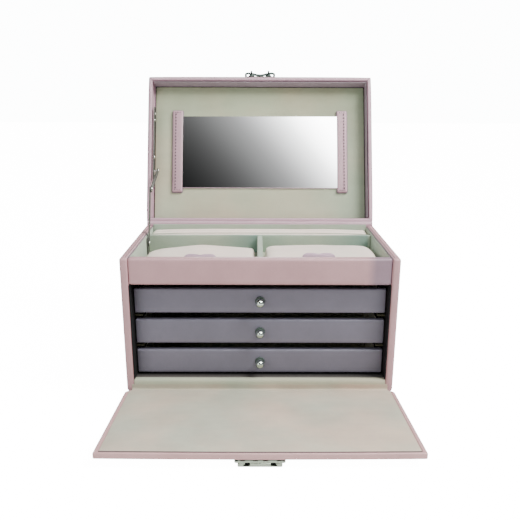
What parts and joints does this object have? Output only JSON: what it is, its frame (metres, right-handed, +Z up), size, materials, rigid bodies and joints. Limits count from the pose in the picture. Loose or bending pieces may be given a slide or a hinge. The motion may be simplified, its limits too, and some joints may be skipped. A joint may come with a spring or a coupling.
{
  "type": "jewellery chest with drawers",
  "caption": "Leather-covered jewellery chest with a mirrored hinged lid on a folding stay, a drop-down locking front flap, pull-out drawers and a padded top tray.",
  "frame": {"origin": "centre of the body's underside, on the surface the chest stands on", "axes": "+Z up, -Y to the front where the flap drops and the drawers pull out, +X to the right seen from the front"},
  "size_m": [0.27, 0.4053, 0.3164],
  "materials": {
    "mauve_leather": "fine grained, satin",
    "slate_leather": "smooth, satin",
    "suede": "napped suede, matte",
    "pale_suede": "napped suede, matte",
    "black_board": "matte black paper",
    "runner_wood": "dark stain",
    "lavender_tab": "satin",
    "mirror": "silvered glass",
    "chrome": "polished",
    "nickel": "nickel plated"
  },
  "bodies": {
    "root": {"side_panel_left": "mauve_leather", "side_panel_right": "mauve_leather", "back_panel": "mauve_leather", "base_board": "mauve_leather", "top_front_panel": "mauve_leather", "base_lining": "suede", "carcass_liner_left": "black_board", "carcass_liner_right": "black_board", "carcass_liner_back": "black_board", "carcass_liner_bottom": "black_board", "drawer_runner_1_left": "runner_wood", "drawer_runner_1_right": "runner_wood", "drawer_runner_2_left": "runner_wood", "drawer_runner_2_right": "runner_wood", "tray_floor": "suede", "tray_lining_left": "suede", "tray_lining_right": "suede", "tray_lining_front": "suede", "tray_lining_back": "suede", "tray_divider": "suede", "tray_partition": "suede", "ring_roll_front": "suede", "ring_roll_middle": "suede", "ring_roll_rear": "suede", "cushion_left": "pale_suede", "cushion_right": "pale_suede", "cushion_tab_left": "lavender_tab", "cushion_tab_right": "lavender_tab", "stay_body_bracket": "nickel", "stay_body_pin": "nickel", "lid_hinge_strip": "mauve_leather", "flap_hinge_strip": "suede"},
    "lid": {"lid_shell": "mauve_leather", "lid_lining": "suede", "mirror": "mirror", "mirror_strap_left": "mauve_leather", "mirror_strap_right": "mauve_leather", "hasp": "chrome", "stay_lid_plate": "nickel", "stay_lid_stud": "nickel"},
    "flap": {"flap_board": "mauve_leather", "flap_lining": "suede", "lock_backplate": "chrome", "lock_case": "chrome"},
    "lock_button": {"lock_button": "chrome"},
    "drawer_1": {"drawer_1_front": "slate_leather", "drawer_1_box": "black_board", "drawer_1_lining": "suede", "drawer_1_knob": "chrome"},
    "drawer_2": {"drawer_2_front": "slate_leather", "drawer_2_box": "black_board", "drawer_2_lining": "suede", "drawer_2_knob": "chrome"},
    "drawer_3": {"drawer_3_front": "slate_leather", "drawer_3_box": "black_board", "drawer_3_lining": "suede", "drawer_3_knob": "chrome"},
    "stay_lower": {"stay_lower_arm": "nickel", "stay_elbow_rivet": "nickel"},
    "stay_upper": {"stay_upper_arm": "nickel"}
  },
  "joints": [
    {"name": "lid_hinge", "type": "hinge", "parent": "root", "child": "lid", "pos_m": [0, 0.08704, 0.14275], "axis": [-1, 0, 0], "range_deg": [-113, 0], "deforming": ["lid_hinge_strip"]},
    {"name": "flap_hinge", "type": "hinge", "parent": "root", "child": "flap", "pos_m": [0, -0.0927, 0.0006], "axis": [1, 0, 0], "range_deg": [-87.05, 0], "deforming": ["flap_hinge_strip"]},
    {"name": "drawer_1_slide", "type": "slide", "parent": "root", "child": "drawer_1", "axis": [0, -1, 0], "range_m": [0, 0.11]},
    {"name": "drawer_2_slide", "type": "slide", "parent": "root", "child": "drawer_2", "axis": [0, -1, 0], "range_m": [0, 0.11]},
    {"name": "drawer_3_slide", "type": "slide", "parent": "root", "child": "drawer_3", "axis": [0, -1, 0], "range_m": [0, 0.11]},
    {"name": "stay_lower_pivot", "type": "hinge", "parent": "root", "child": "stay_lower", "pos_m": [-0.1239, 0.02757, 0.13043], "axis": [-1, 0, 0], "range_deg": [-115.2, 0]},
    {"name": "stay_upper_pivot", "type": "hinge", "parent": "lid", "child": "stay_upper", "pos_m": [-0.1226, 0.1122, 0.20061], "axis": [-1, 0, 0], "range_deg": [0, 115.1]},
    {"name": "lock_press", "type": "slide", "parent": "flap", "child": "lock_button", "axis": [0, 0.0515, 0.9987], "range_m": [0, 0.0015], "stiffness_N_per_m": 200}
  ],
  "couplings": [
    {"joint": "stay_lower_pivot", "follows": "lid_hinge", "ratio": 1.0185},
    {"joint": "stay_upper_pivot", "follows": "lid_hinge", "ratio": -1.0171}
  ]
}
